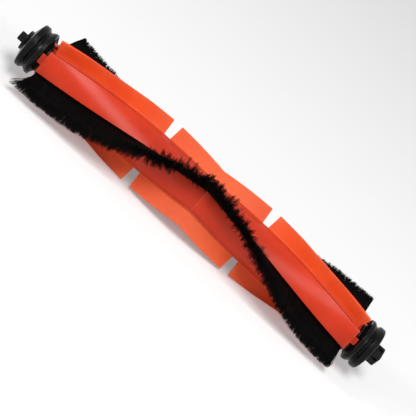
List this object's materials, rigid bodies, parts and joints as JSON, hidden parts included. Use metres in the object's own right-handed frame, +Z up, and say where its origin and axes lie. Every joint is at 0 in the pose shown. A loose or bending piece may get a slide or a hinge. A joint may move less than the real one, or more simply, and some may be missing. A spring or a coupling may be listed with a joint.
{
  "type": "robot vacuum roller brush",
  "caption": "Main roller brush of a robot vacuum: a core with twisted V rows of soft vanes and bristles, spool-shaped pull-off caps, a drive square and a free square on a ball bearing.",
  "frame": {"origin": "centre of the roller, on its axis, half-way between the tips of the two squares", "axes": "+X along the roller towards the drive square, +Z up when it lies on its lower vane, -Y towards the picture's viewer"},
  "size_m": [0.1938, 0.0376, 0.0298],
  "materials": {
    "core_plastic": "satin moulded red-orange plastic",
    "vane_rubber": "smooth bright orange soft rubber",
    "bristle_nylon": "black nylon filaments",
    "black_plastic": "satin moulded black plastic",
    "black_rubber": "plain black rubber",
    "felt": "dark felt",
    "bearing_steel": "ground steel",
    "sheet_steel": "pressed steel"
  },
  "bodies": {
    "roller": {"roller_core": "core_plastic", "vane_upper": "vane_rubber", "vane_lower": "vane_rubber", "bristle_strip_front": "black_plastic", "bristle_strip_rear": "black_plastic", "bristles_front": "bristle_nylon", "bristles_rear": "bristle_nylon"},
    "idle_end": {"idle_cap": "black_plastic", "grip_ring_idle": "black_rubber", "bearing_outer_ring": "bearing_steel", "bearing_shields": "sheet_steel", "hair_seal": "felt"},
    "ball_set": {"bearing_balls": "bearing_steel", "bearing_cage": "sheet_steel"},
    "idle_square": {"idle_stub": "black_plastic", "stub_pin": "bearing_steel", "bearing_inner_ring": "bearing_steel", "thrust_washer": "sheet_steel", "retaining_clip": "sheet_steel"},
    "drive_end": {"drive_cap": "black_plastic", "grip_ring_drive": "black_rubber"}
  },
  "joints": [
    {"name": "idle_cap_pull", "type": "slide", "parent": "roller", "child": "idle_end", "axis": [-1, 0, 0], "range_m": [0, 0.012]},
    {"name": "idle_square_turn", "type": "hinge", "parent": "idle_end", "child": "idle_square", "pos_m": [-0.0897, 0, 0], "axis": [1, 0, 0], "continuous": true},
    {"name": "ball_set_turn", "type": "hinge", "parent": "idle_end", "child": "ball_set", "pos_m": [-0.0897, 0, 0], "axis": [1, 0, 0], "continuous": true},
    {"name": "drive_cap_pull", "type": "slide", "parent": "roller", "child": "drive_end", "axis": [1, 0, 0], "range_m": [0, 0.012]}
  ],
  "couplings": [
    {"joint": "ball_set_turn", "follows": "idle_square_turn", "ratio": 0.3564}
  ]
}
